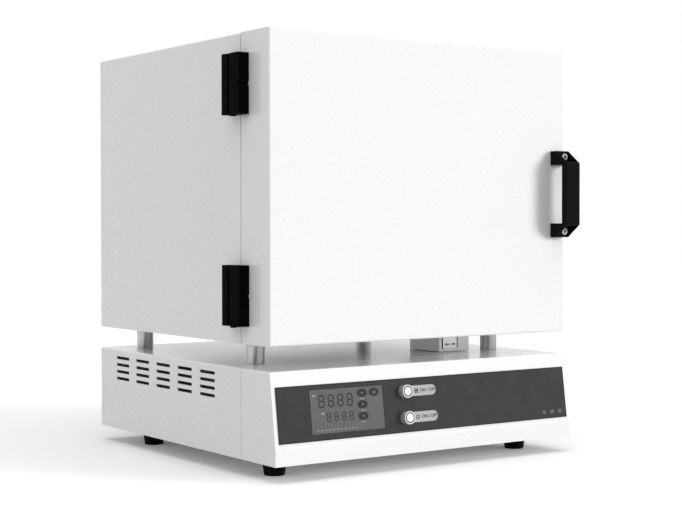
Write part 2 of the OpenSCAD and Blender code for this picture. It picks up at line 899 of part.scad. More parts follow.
module inlet_tube_space() {
    translate([inlet_x, inlet_y, board_z0 - eps])
        cylinder(h = chamber_z0 - board_z0 + 2 * eps, r = inlet_d / 2 + fit);
    translate([inlet_x, inlet_y, board_z0 - eps])
        cylinder(h = tube_collar + eps + fit, r = inlet_collar_r + fit);
}

// One row of groove for each rod, joined at both ends where the rods turn
module rod_grooves() {
    half = rod_r + fit;
    back = rod_x - half;
    turn = rod_pitch / 2 + half;
    for (i = [0 : rod_rows - 1])
        block(back, chamber_x0 + eps, rod_y0 - eps, chamber_y1 + eps,
            rod_z0 + i * rod_pitch - half, rod_z0 + i * rod_pitch + half);
    block(back, chamber_x0 + eps, rod_y0 - turn, rod_y0 + eps, rod_z0 - half, rod_z1 + half);
    block(back, chamber_x0 + eps, rod_y1 - eps, rod_y1 + turn, rod_z0 + rod_pitch - half,
        rod_z1 - rod_pitch + half);
}

// Repeats children on the opposite side of the chamber
module mirrored() {
    translate([width, 0, 0]) mirror([1, 0, 0]) children();
}

module muffle_side() {
    difference() {
        block(hot_x0, chamber_x0, board_y0, chamber_y1, chamber_z0, chamber_z1);
        rod_grooves();
    }
}

module muffle_left() {
    color("ivory") placed() muffle_side();
}

module muffle_right() {
    color("ivory") placed() mirrored() muffle_side();
}

module muffle_roof() {
    color("ivory") placed() block(hot_x0, hot_x1, board_y0, chamber_y1, chamber_z1, hot_z1);
}

module muffle_floor() {
    color("ivory") placed() difference() {
        block(hot_x0, hot_x1, board_y0, chamber_y1, hot_z0, chamber_z0);
        inlet_tube_space();
    }
}

module muffle_rear() {
    color("ivory") placed() difference() {
        block(board_x0, board_x1, chamber_y1, board_y1, board_z0, board_z1);
        for (x = [rod_x, width - rod_x], z = [rod_z0, rod_z1])
            bar_y(x, z, chamber_y1 - eps, board_y1 + eps, rod_r + fit);
        bar_y(width / 2, sheath_z, chamber_y1 - eps, board_y1 + eps, sheath_d / 2 + fit);
        bar_y(exhaust_x, exhaust_z, chamber_y1 - eps, board_y1 + eps, exhaust_d / 2 + fit);
        column_head_pockets();
    }
}

module backing_side() {
    difference() {
        block(board_x0, hot_x0, board_y0, chamber_y1, board_z0, board_z1);
        column_head_pockets();
    }
}

module backing_left() {
    color("linen") placed() backing_side();
}

module backing_right() {
    color("linen") placed() mirrored() backing_side();
}

module backing_top() {
    color("linen") placed() block(hot_x0, hot_x1, board_y0, chamber_y1, hot_z1, board_z1);
}

module backing_bottom() {
    color("linen") placed() difference() {
        block(hot_x0, hot_x1, board_y0, chamber_y1, board_z0, hot_z0);
        inlet_tube_space();
        column_head_pockets();
    }
}

module hearth_plate() {
    color([0.8, 0.76, 0.68]) placed() difference() {
        block(chamber_x0 + hearth_margin, chamber_x1 - hearth_margin, plug_end + hearth_end_gap,
            chamber_y1 - hearth_end_gap, chamber_z0, chamber_z0 + hearth_thickness);
        translate([inlet_x, inlet_y, chamber_z0 - eps])
            cylinder(h = hearth_thickness + 2 * eps, r = inlet_d / 2);
    }
}

// Half ring that joins two runs, bulging towards +y
module rod_bend(y, z) {
    translate([rod_x, y, z]) rotate([0, 90, 0])
        rotate_extrude(angle = 180) translate([rod_pitch / 2, 0]) circle(rod_r);
}

module heating_element() {
    for (i = [0 : rod_rows - 1]) {
        last = i == 0 || i == rod_rows - 1;
        bar_y(rod_x, rod_z0 + i * rod_pitch, rod_y0, last ? board_y1 + rod_tail : rod_y1, rod_r);
    }
    for (i = [0 : rod_rows - 2]) {
        z = rod_z0 + (i + 0.5) * rod_pitch;
        if (i % 2 == 0) translate([0, 2 * rod_y0, 0]) mirror([0, 1, 0]) rod_bend(rod_y0, z);
        else rod_bend(rod_y1, z);
    }
}

module heater_left() {
    color([0.35, 0.33, 0.3]) placed() heating_element();
}

module heater_right() {
    color([0.35, 0.33, 0.3]) placed() mirrored() heating_element();
}

module heater_terminals() {
    color("white") placed() for (x = [rod_x, width - rod_x], z = [rod_z0, rod_z1]) difference() {
        bar_y(x, z, board_y1, board_y1 + bushing_length, bushing_r);
        bar_y(x, z, board_y1 - eps, board_y1 + bushing_length + eps, rod_r + running);
    }
}

module thermocouple_sheath() {
    color("ivory") placed()
        bar_y(width / 2, sheath_z, chamber_y1 - sheath_reach, board_y1 + sheath_tail, sheath_d / 2);
}

module thermocouple_head() {
    color([0.6, 0.6, 0.62]) placed() difference() {
        bar_y(width / 2, sheath_z, board_y1, board_y1 + sheath_head_length, sheath_head_r);
        bar_y(width / 2, sheath_z, board_y1 - eps, board_y1 + sheath_tail + fit, sheath_d / 2 + running);
    }
}

module exhaust_tube() {
    collar_r = exhaust_d / 2 + 5;
    color([0.7, 0.7, 0.69]) placed() difference() {
        union() {
            bar_y(exhaust_x, exhaust_z, chamber_y1, depth + exhaust_out, exhaust_d / 2);
            bar_y(exhaust_x, exhaust_z, board_y1, board_y1 + tube_collar, collar_r);
        }
        bar_y(exhaust_x, exhaust_z, chamber_y1 - eps, depth + exhaust_out + eps, exhaust_bore / 2);
    }
}

module inlet_tube() {
    color("ivory") placed() translate([inlet_x, inlet_y, 0]) difference() {
        union() {
            translate([0, 0, body_z0]) cylinder(h = chamber_z0 - body_z0, r = inlet_d / 2);
            translate([0, 0, board_z0]) cylinder(h = tube_collar, r = inlet_collar_r);
        }
        translate([0, 0, body_z0 - eps]) cylinder(h = chamber_z0 - body_z0 + 2 * eps, r = inlet_bore / 2);
    }
}

// -------------------------------------------------------------- air inlet

module damper_box() {
    t = damper_sheet;
    guide_y0 = slide_y0 + slide_thickness + fit;
    guide_y1 = guide_y0 + 1;
    color([0.7, 0.7, 0.7]) placed() {
        difference() {
            block(damper_x0, damper_x1, damper_y0, damper_y1, damper_z0, body_z0);
            block(damper_x0 + t, damper_x1 - t, damper_y0 + t, damper_y1 - t,
                damper_z0 + t, body_z0 + eps);
            block(window_x0, window_x0 + damper_window, damper_y0 - eps, damper_y0 + t + eps,
                damper_z0 + damper_rim, body_z0 - damper_rim);
        }
        for (z = [damper_z0 + t - 0.1, body_z0 - guide_height])
            block(damper_x0 + t - 0.1, damper_x1 - t + 0.1, guide_y0, guide_y1, z, z + guide_height);
    }
}

// Arrow with a head at each end, drawn in x and z about its middle
module double_arrow2d(length, head, line) {
    square([length - head, line], center = true);
    for (side = [-1, 1]) translate([side * length / 2, 0])
        polygon([[0, 0], [-side * head, head * 0.6], [-side * head, -head * 0.6]]);
}

module damper_slide() {
    z0 = damper_z0 + damper_sheet + fit;
    z1 = body_z0 - fit;
    arrow_depth = 0.4;
    arrow_rise = 10.5;
    arrow_x = (slide_x0 + window_x0 + damper_window) / 2;
    color([0.86, 0.86, 0.85]) placed() difference() {
        block(slide_x0, slide_x0 + slide_length, slide_y0, slide_y0 + slide_thickness, z0, z1);
        translate([arrow_x, 0, damper_z0 + arrow_rise])
            along_y(slide_y0 - eps, slide_y0 + arrow_depth) double_arrow2d(length = 20, head = 4, line = 1);
    }
}

// ----------------------------------------------------------------- hinges

// Puts children at the foot of each hinge, on its axis
module at_hinges() {
    for (z = hinge_z) translate([hinge_x, hinge_y, z]) children();
}

module door_leaf() {
    half = hinge_height / 2;
    reach = hinge_width / 2;
    difference() {
        translate([-barrel_r, -reach, 0]) cube([hinge_out, reach - leaf_gap, hinge_height]);
        translate([0, 0, -eps]) cylinder(h = half + leaf_gap / 2 + eps, r = relief_r);
        translate([0, -reach, half]) rotate([45, 0, 0])
            cube([2 * hinge_out, hinge_groove * sqrt(2), hinge_groove * sqrt(2)], center = true);
        pin_hole();
    }
    difference() {
        translate([0, 0, half + leaf_gap / 2]) cylinder(h = half - leaf_gap / 2, r = barrel_r);
        pin_hole();
    }
}

module pin_hole() {
    translate([0, 0, -eps]) cylinder(h = hinge_height - pin_stop + fit + eps, r = hinge_pin_r + running);
}

// The near face leans back, so that the door leaf can swing to door_swing
module casing_leaf() {
    half = hinge_height / 2;
    reach = hinge_width / 2;
    outer_y = (relief_r - cos(door_swing) * barrel_r) / sin(door_swing);
    axis_y = relief_r / sin(door_swing);
    difference() {
        linear_extrude(hinge_height) polygon([
            [hinge_out - barrel_r, leaf_gap],
            [hinge_out - barrel_r, reach],
            [-barrel_r, reach],
            [-barrel_r, outer_y],
            [0, axis_y],
            [0, leaf_gap]
        ]);
        translate([0, 0, half - leaf_gap / 2]) cylinder(h = half + leaf_gap / 2 + eps, r = relief_r);
        pin_hole();
    }
    difference() {
        cylinder(h = half - leaf_gap / 2, r = barrel_r);
        pin_hole();
    }
}

module door_hinge_leaves() {
    color([0.08, 0.08, 0.08]) placed() at_hinges() door_leaf();
}

module casing_hinge_leaves() {
    color([0.08, 0.08, 0.08]) placed() at_hinges() casing_leaf();
}

module hinge_pins() {
    color("silver") placed() at_hinges() {
        cylinder(h = hinge_height - pin_stop, r = hinge_pin_r);
        translate([0, 0, -pin_head_h]) cylinder(h = pin_head_h, r = pin_head_r);
    }
}

module catch_magnets() {
    x0 = width - magnet_side_inset - magnet_width;
    y0 = body_y0 - door_gap + fit;
    color([0.3, 0.3, 0.31]) placed()
        for (z0 = [body_z0 + magnet_end_inset, body_z1 - magnet_end_inset - magnet_height])
            block(x0, x0 + magnet_width, y0, body_y0, z0, z0 + magnet_height);
}

// ------------------------------------------------------------------- door

// Door block whose front edges are rounded, inset on every side but the rear
module door_block(inset, r, rear) {
    w = width - 2 * inset;
    h = body_height - 2 * inset;
    d = rear - inset;
    intersection() {
        translate([inset, inset, body_z0 + inset]) linear_extrude(h) front_rounded2d(w, d, r);
        translate([width - inset, inset, body_z0 + inset]) rotate([0, -90, 0])
            linear_extrude(w) front_rounded2d(h, d, r);
    }
}

module handle_screw_places() {
    for (z = [handle_z - handle_screw_z, handle_z + handle_screw_z])
        translate([(handle_x0 + handle_x1) / 2, 0, z]) children();
}

module door_shell() {
    color("white") placed() difference() {
        door_block(0, bend_r, door_thickness);
        door_block(sheet, bend_r - sheet, door_thickness + eps);
        handle_screw_places() bar_y(0, 0, -eps, sheet + eps, handle_screw_d / 2 + fit);
    }
}

// Plug outline grown by g, from y0 to y1
module plug_block(g, y0, y1) {
    block(chamber_x0 + plug_clearance - g, chamber_x1 - plug_clearance + g, y0, y1,
        chamber_z0 + plug_clearance - g, chamber_z1 - plug_clearance + g);
}

module door_inner_panel() {
    color([0.75, 0.75, 0.74]) placed() difference() {
        block(sheet, width - sheet, door_thickness - sheet, door_thickness,
            body_z0 + sheet, body_z1 - sheet);
        plug_block(fit, door_thickness - sheet - eps, door_thickness + eps);
    }
}

// Plug outline in one direction, from the pocket in the door to the tapered nose
module plug_profile(low, high) {
    polygon([
        [door_thickness - sheet, low],
        [door_thickness, low],
        [plug_end, low + plug_taper],
        [plug_end, high - plug_taper],
        [door_thickness, high],
        [door_thickness - sheet, high]
    ]);
}

// Insulation of the door: a board that fills the door and a nose that enters the chamber
module door_plug() {
    back = door_thickness - sheet;
    side = sheet + board_gap;
    color("ivory") placed() difference() {
        union() {
            block(side, width - side, side, back, body_z0 + side, body_z1 - side);
            intersection() {
                along_x(chamber_x0 + plug_clearance, chamber_x1 - plug_clearance)
                    plug_profile(chamber_z0 + plug_clearance, chamber_z1 - plug_clearance);
                translate([0, 0, chamber_z0]) mirror([1, 0, 0]) rotate([0, 0, 90])
                    linear_extrude(chamber_height)
                        plug_profile(chamber_x0 + plug_clearance, chamber_x1 - plug_clearance);
            }
        }
        handle_screw_places() bar_y(0, 0, 0, handle_screw_reach + eps, handle_screw_d / 2 + fit);
    }
}

module door_seal() {
    color("snow") placed() difference() {
        plug_block(seal_width + board_gap, door_thickness, door_thickness + door_gap - fit);
        plug_block(board_gap, door_thickness - eps, door_thickness + door_gap + eps);
    }
}

// Hollow behind each chamfer, in which a screw sits
module handle_pockets() {
    half = handle_height / 2;
    length = handle_chamfer - 2 * handle_wall;
    for (z0 = [handle_z - half + handle_wall, handle_z + half - handle_wall - length])
        block(handle_x0 + handle_wall, handle_x1 - handle_wall, -handle_out - eps, -handle_seat,
            z0, z0 + length);
}

module handle() {
    half = handle_height / 2;
    inner = half - handle_leg;
    grip_y = handle_grip - handle_out;
    color([0.08, 0.08, 0.08]) placed() difference() {
        translate([0, 0, handle_z]) along_x(handle_x0, handle_x1) polygon([
            [0, half],
            [handle_chamfer_depth - handle_out, half],
            [-handle_out, half - handle_chamfer],
            [-handle_out, handle_chamfer - half],
            [handle_chamfer_depth - handle_out, -half],
            [0, -half],
            [0, -inner],
            [grip_y, -inner],
            [grip_y, inner],
            [0, inner]
        ]);
        handle_screw_places() bar_y(0, 0, -handle_out, eps, handle_screw_d / 2 + fit);
        handle_pockets();
    }
}

module handle_screws() {
    head_y = -handle_seat - handle_screw_d;
    color("silver") placed() handle_screw_places() difference() {
        union() {
            bar_y(0, 0, -handle_seat, handle_screw_reach, handle_screw_d / 2);
            bar_y(0, 0, head_y, -handle_seat, screw_head_r);
        }
        hex_y(head_y - eps, head_y + handle_screw_d / 2, socket_r);
    }
}

base_floor();
base_cover();
base_rear_panel();
front_bezel();
control_panel();
controller_housing();
controller_board();
digit_displays();
display_window();
touch_keys();
label_plates();
button_housing(0);  // heater_button_housing
button_cap(0);  // heater_button_cap
button_housing(1);  // power_button_housing
button_cap(1);  // power_button_cap
button_rings();
button_nuts();
feet();
foot_screws();
columns();
column_screws();
heat_sink();
solid_state_relay();
power_contactor();
terminal_block();
cable_gland();
cover_screws();
casing_wrap();
casing_floor();
casing_rear();
front_frame();
muffle_left();
muffle_right();
muffle_roof();
muffle_floor();
muffle_rear();
backing_left();
backing_right();
backing_top();
backing_bottom();
hearth_plate();
heater_left();
heater_right();
heater_terminals();
thermocouple_sheath();
thermocouple_head();
exhaust_tube();
inlet_tube();
damper_box();
damper_slide();
casing_hinge_leaves();
hinge_pins();
door_hinge_leaves();
catch_magnets();
door_shell();
door_inner_panel();
door_plug();
door_seal();
handle();
handle_screws();
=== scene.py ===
"""Looks of a bench-top muffle furnace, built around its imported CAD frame."""

import json
import math

import bmesh
import bpy
from mathutils import Matrix, Vector


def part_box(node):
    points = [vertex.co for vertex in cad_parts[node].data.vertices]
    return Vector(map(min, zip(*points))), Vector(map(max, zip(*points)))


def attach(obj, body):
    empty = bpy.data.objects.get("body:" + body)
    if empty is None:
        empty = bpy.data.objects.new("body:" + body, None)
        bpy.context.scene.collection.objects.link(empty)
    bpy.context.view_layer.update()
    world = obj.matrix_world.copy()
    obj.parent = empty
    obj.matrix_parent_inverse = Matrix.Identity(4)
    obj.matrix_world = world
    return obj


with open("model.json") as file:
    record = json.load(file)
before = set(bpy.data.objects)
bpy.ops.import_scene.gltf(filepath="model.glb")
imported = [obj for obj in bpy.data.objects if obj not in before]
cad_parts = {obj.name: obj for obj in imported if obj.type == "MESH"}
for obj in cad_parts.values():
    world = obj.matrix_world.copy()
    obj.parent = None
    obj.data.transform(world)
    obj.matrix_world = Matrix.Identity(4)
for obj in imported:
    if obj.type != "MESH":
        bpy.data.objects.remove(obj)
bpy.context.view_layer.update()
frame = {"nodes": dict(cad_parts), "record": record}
NODES = frame["nodes"]
MM = 0.001


def to_scene(thing):
    bpy.context.scene.collection.objects.link(thing)
    return thing


# ------------------------------------------------------------------ camera

# Solved from the edges of the furnace in the photo
CAMERA_PLACE = (-1.2669, -1.87485, 0.3344)
CAMERA_YAW = math.radians(34.659)
CAMERA_PITCH = math.radians(-1.116)
CAMERA_ROLL = math.radians(-0.044)
CAMERA_LENS = 78.64
SENSOR_WIDTH = 36.0


def make_camera():
    """Camera at the photo's viewing angle."""
    data = bpy.data.cameras.new("camera")
    data.lens = CAMERA_LENS
    data.sensor_width = SENSOR_WIDTH
    data.clip_start = 0.05
    camera = to_scene(bpy.data.objects.new("camera", data))
    aim = Matrix.Rotation(-CAMERA_YAW, 4, "Z") @ Matrix.Rotation(math.pi / 2 + CAMERA_PITCH, 4, "X")
    turn = aim @ Matrix.Rotation(CAMERA_ROLL, 4, "Z")
    camera.matrix_world = Matrix.Translation(CAMERA_PLACE) @ turn
    bpy.context.scene.camera = camera


make_camera()

# --------------------------------------------------------------- materials

# Sockets of the Mix node for colours, which share their names with those for numbers
MIX_A, MIX_B, MIX_RESULT = 6, 7, 2


class Surface:
    """One procedural material. Sizes of grain, brushing and spots are in metres."""

    def __init__(self, name, colour, roughness, metallic=0.0, specular=0.5):
        self.material = bpy.data.materials.new(name)
        self.material.use_nodes = True
        self.tree = self.material.node_tree
        self.bsdf = self.tree.nodes["Principled BSDF"]
        self.bsdf.inputs["Base Color"].default_value = (*colour, 1.0)
        self.bsdf.inputs["Roughness"].default_value = roughness
        self.bsdf.inputs["Metallic"].default_value = metallic
        self.bsdf.inputs["Specular IOR Level"].default_value = specular
        self.place = self.add("ShaderNodeTexCoord").outputs["Object"]
        self.normal = None

    def add(self, kind, **properties):
        node = self.tree.nodes.new(kind)
        for key, value in properties.items():
            setattr(node, key, value)
        return node

    def link(self, source, target):
        self.tree.links.new(source, target)

    def scaled(self, size):
        """Object coordinates divided by size, one length or one for each axis."""
        sizes = size if isinstance(size, tuple) else (size, size, size)
        mapping = self.add("ShaderNodeMapping")
        mapping.inputs["Scale"].default_value = [1 / s for s in sizes]
        self.link(self.place, mapping.inputs["Vector"])
        return mapping.outputs["Vector"]

    def noise(self, size, detail=2, roughness=0.5, distortion=0.0):
        """Cloudy values from 0 to 1 whose spots are about size across."""
        node = self.add("ShaderNodeTexNoise")
        node.inputs["Scale"].default_value = 1.0
        node.inputs["Detail"].default_value = detail
        node.inputs["Roughness"].default_value = roughness
        node.inputs["Distortion"].default_value = distortion
        self.link(self.scaled(size), node.inputs["Vector"])
        return node.outputs["Fac"]

    def cells(self, size):
        node = self.add("ShaderNodeTexVoronoi")
        node.inputs["Scale"].default_value = 1.0
        self.link(self.scaled(size), node.inputs["Vector"])
        return node.outputs["Color"]

    def spread(self, factor, low, high, start=0.35, end=0.65):
        """Maps start..end of factor to low..high."""
        node = self.add("ShaderNodeMapRange")
        node.inputs["From Min"].default_value = start
        node.inputs["From Max"].default_value = end
        node.inputs["To Min"].default_value = low
        node.inputs["To Max"].default_value = high
        self.link(factor, node.inputs["Value"])
        return node.outputs["Result"]

    def tint(self, factor, low, high, start=0.3, end=0.7):
        """Base colour runs from low to high as factor goes from start to end."""
        ramp = self.add("ShaderNodeValToRGB")
        for stop, position, colour in zip(ramp.color_ramp.elements, (start, end), (low, high)):
            stop.position = position
            stop.color = (*colour, 1.0)
        self.link(factor, ramp.inputs["Fac"])
        self.link(ramp.outputs["Color"], self.bsdf.inputs["Base Color"])
        return ramp.outputs["Color"]

    def overlay(self, under, factor, colour, amount):
        """Mixes colour over another colour, by amount times factor."""
        scale = self.add("ShaderNodeMath", operation="MULTIPLY", use_clamp=True)
        scale.inputs[1].default_value = amount
        self.link(factor, scale.inputs[0])
        mix = self.add("ShaderNodeMix", data_type="RGBA")
        self.link(scale.outputs[0], mix.inputs["Factor"])
        self.link(under, mix.inputs[MIX_A])
        mix.inputs[MIX_B].default_value = (*colour, 1.0)
        self.link(mix.outputs[MIX_RESULT], self.bsdf.inputs["Base Color"])

    def sheen_break(self, factor, low, high):
        """Roughness wanders between low and high."""
        self.link(self.spread(factor, low, high), self.bsdf.inputs["Roughness"])

    def bump(self, height, distance, strength):
        """Relief of the given depth, on top of any relief made before."""
        node = self.add("ShaderNodeBump")
        node.inputs["Distance"].default_value = distance
        node.inputs["Strength"].default_value = strength
        self.link(height, node.inputs["Height"])
        if self.normal is not None:
            self.link(self.normal, node.inputs["Normal"])
        self.normal = node.outputs["Normal"]
        self.link(self.normal, self.bsdf.inputs["Normal"])

    def edges(self, width):
        """1 along sharp edges, within width of them, fading to 0 on the faces."""
        rounded = self.add("ShaderNodeBevel", samples=6)
        rounded.inputs["Radius"].default_value = width
        face = self.add("ShaderNodeNewGeometry")
        dot = self.add("ShaderNodeVectorMath", operation="DOT_PRODUCT")
        self.link(rounded.outputs["Normal"], dot.inputs[0])
        self.link(face.outputs["True Normal"], dot.inputs[1])
        return self.spread(dot.outputs["Value"], 1.0, 0.0, 0.9, 0.99)


def shade(colour, factor):
    return tuple(c * factor for c in colour)


def powder_coat():
    """White baked paint with a fine orange peel."""
    colour = (0.87, 0.87, 0.867)
    s = Surface("coat_white", colour, 0.3, specular=0.4)
    s.bsdf.inputs["Coat Weight"].default_value = 0.8
    s.bsdf.inputs["Coat Roughness"].default_value = 0.14
    peel = s.noise(0.0021, detail=2)
    s.tint(peel, shade(colour, 0.975), shade(colour, 1.025))
    s.sheen_break(peel, 0.26, 0.36)
    s.bump(peel, 0.00022, 0.5)
    s.bump(s.noise(0.006), 0.0003, 0.25)
    return s.material


def brushed(name, colour, roughness, along, grain=0.0005, streak=0.06, depth=0.00003):
    """Metal brushed along one axis."""
    size = tuple(streak if axis == along else grain for axis in "xyz")
    s = Surface(name, colour, roughness, metallic=1.0)
    lines = s.noise(size, detail=3)
    s.tint(lines, shade(colour, 0.86), shade(colour, 1.06))
    s.sheen_break(lines, roughness * 0.8, roughness * 1.3)
    s.bump(lines, depth, 0.6)
    s.bump(s.noise(0.004), 0.00004, 0.2)
    return s.material


def turned(name, colour, roughness, metallic=1.0, smear=0.0):
    """Bar turned on a lathe: fine rings round a vertical axis smear its gloss up and down."""
    s = Surface(name, colour, roughness, metallic=metallic)
    s.bsdf.inputs["Anisotropic"].default_value = smear
    upright = s.add("ShaderNodeCombineXYZ")
    upright.inputs["Z"].default_value = 1.0
    s.link(upright.outputs[0], s.bsdf.inputs["Tangent"])
    rings = s.noise((0.05, 0.05, 0.00035), detail=2)
    s.tint(rings, shade(colour, 0.92), shade(colour, 1.05))
    s.sheen_break(s.noise(0.006), roughness * 0.9, roughness * 1.12)
    s.bump(rings, 0.000008, 0.4)
    return s.material


def zinc():
    """Bare sheet with the large crystals of hot-dip zinc."""
    colour = (0.74, 0.745, 0.75)
    s = Surface("zinc_sheet", colour, 0.42, metallic=0.6)
    flakes = s.cells(0.009)
    s.tint(flakes, shade(colour, 0.85), shade(colour, 1.1), 0.1, 0.9)
    s.sheen_break(flakes, 0.34, 0.52)
    s.bump(s.noise(0.0012), 0.00003, 0.4)
    return s.material


def grained_plastic(name, colour, roughness, grain=0.0009, depth=0.00006, specular=0.3):
    """Matt moulding with a spark-eroded grain."""
    s = Surface(name, colour, roughness, specular=specular)
    s.tint(s.noise(0.02, detail=4), shade(colour, 0.88), shade(colour, 1.12))
    pits = s.noise(grain, detail=1)
    s.sheen_break(pits, roughness * 0.88, roughness * 1.12)
    s.bump(pits, depth, 0.5)
    return s.material


def moulded_grip(name, colour, grain, depth, specular):
    """Black moulding whose edges are painted a little paler: a painted highlight along them."""
    s = Surface(name, colour, 0.42, specular=specular)
    base = s.tint(s.noise(0.02, detail=4), shade(colour, 0.88), shade(colour, 1.12))
    # Painted highlight: the sharp edges are mixed towards a paler colour
    s.overlay(base, s.edges(HIGHLIGHT_WIDTH), EDGE_HIGHLIGHT, 0.6)
    pits = s.noise(grain, detail=1)
    s.sheen_break(pits, 0.37, 0.47)
    s.bump(pits, depth, 0.5)
    return s.material


def glossy_film(name, colour, roughness, specular=0.4):
    """Printed film behind clear plastic."""
    s = Surface(name, colour, roughness, specular=specular)
    s.tint(s.noise(0.012, detail=5, roughness=0.6), shade(colour, 0.94), shade(colour, 1.06))
    s.sheen_break(s.noise(0.007), roughness * 0.85, roughness * 1.2)
    s.bump(s.noise(0.003), 0.00001, 0.3)
    return s.material


def cast_metal(name, colour, roughness):
    s = Surface(name, colour, roughness, metallic=1.0)
    s.tint(s.noise(0.006, detail=4), shade(colour, 0.82), shade(colour, 1.08))
    s.sheen_break(s.noise(0.003), roughness * 0.8, roughness * 1.25)
    s.bump(s.noise(0.0008), 0.00004, 0.5)
    return s.material


def rubber():
    colour = (0.0045, 0.0045, 0.0045)
    s = Surface("rubber_black", colour, 0.8, specular=0.08)
    s.tint(s.noise(0.01, detail=5), shade(colour, 0.7), shade(colour, 1.8))
    s.bump(s.noise(0.0007, detail=3), 0.00008, 0.6)
    return s.material


def fibre_board(name, colour, stain):
    """Vacuum-formed ceramic fibre: matted short fibres, pits and faint heat stains."""
    s = Surface(name, colour, 0.95, specular=0.1)
    matted = s.noise((0.005, 0.0011, 0.0018), detail=6, roughness=0.7, distortion=0.9)
    base = s.tint(matted, shade(colour, 0.88), shade(colour, 1.04))
    s.overlay(base, s.spread(s.noise(0.06, detail=3), 0.0, 1.0, 0.5, 0.75), stain, 0.35)
    s.bump(matted, 0.0009, 0.8)
    s.bump(s.noise(0.011, detail=3), 0.0012, 0.45)
    return s.material


def woven_seal():
    """Ceramic rope, plainly woven."""
    colour = (0.83, 0.82, 0.78)
    s = Surface("seal_fibre", colour, 0.95, specular=0.1)
    waves = []
    for direction in ("X", "Z"):
        wave = s.add("ShaderNodeTexWave", bands_direction=direction)
        wave.inputs["Scale"].default_value = 0.5
        wave.inputs["Distortion"].default_value = 0.6
        s.link(s.scaled(0.0026), wave.inputs["Vector"])
        waves.append(wave.outputs["Fac"])
    weave = s.add("ShaderNodeMath", operation="MAXIMUM")
    for i, wave in enumerate(waves):
        s.link(wave, weave.inputs[i])
    s.tint(weave.outputs[0], shade(colour, 0.72), colour, 0.2, 0.8)
    s.bump(weave.outputs[0], 0.0006, 0.8)
    s.bump(s.noise(0.0008, detail=4), 0.0003, 0.5)
    return s.material


def fired_ceramic(name, colour, spot, spot_share, roughness):
    """Fired clay with small darker specks."""
    s = Surface(name, colour, roughness, specular=0.35)
    base = s.tint(s.noise(0.02, detail=4), shade(colour, 0.9), shade(colour, 1.04))
    s.overlay(base, s.spread(s.noise(0.0012, detail=1), 0.0, 1.0, 0.62, 0.7), spot, spot_share)
    s.bump(s.noise(0.0024, detail=3), 0.0002, 0.4)
    return s.material


def circuit_board():
    """Green board with paler tracks."""
    colour = (0.02, 0.13, 0.05)
    s = Surface("board_green", colour, 0.35)
    tracks = s.add("ShaderNodeTexBrick", offset=0.35)
    tracks.inputs["Scale"].default_value = 1.0
    tracks.inputs["Mortar Size"].default_value = 0.05
    tracks.inputs["Color1"].default_value = (*colour, 1.0)
    tracks.inputs["Color2"].default_value = (*shade(colour, 0.8), 1.0)
    tracks.inputs["Mortar"].default_value = (0.05, 0.3, 0.12, 1.0)
    s.link(s.scaled((0.006, 0.012, 0.006)), tracks.inputs["Vector"])
    s.link(tracks.outputs["Color"], s.bsdf.inputs["Base Color"])
    s.bump(tracks.outputs["Fac"], 0.00005, 0.5)
    return s.material


def printed_ink(name, colour, roughness=0.5, specular=0.3):
    s = Surface(name, colour, roughness, specular=specular)
    s.tint(s.noise(0.0015, detail=3), shade(colour, 0.9), shade(colour, 1.08))
    s.bump(s.noise(0.0004), 0.00001, 0.3)
    return s.material


def lens():
    """Milky cap of a push-button."""
    colour = (0.9, 0.9, 0.885)
    s = Surface("lens_white", colour, 0.22)
    s.tint(s.noise(0.004, detail=2), shade(colour, 0.97), colour)
    s.bsdf.inputs["Subsurface Weight"].default_value = 0.3
    s.bsdf.inputs["Subsurface Radius"].default_value = (0.002, 0.002, 0.002)
    s.bump(s.noise(0.002), 0.00001, 0.3)
    return s.material


def fine_zinc():
    """Zinc-coated sheet whose fine flakes show on the damper box."""
    colour = (0.86, 0.86, 0.86)
    s = Surface("damper_grey", colour, 0.45, metallic=1.0, specular=0.4)
    flakes = s.noise(0.0011, detail=2)
    s.tint(flakes, shade(colour, 0.8), shade(colour, 1.12))
    s.sheen_break(flakes, 0.42, 0.6)
    s.bump(flakes, 0.00005, 0.5)
    return s.material


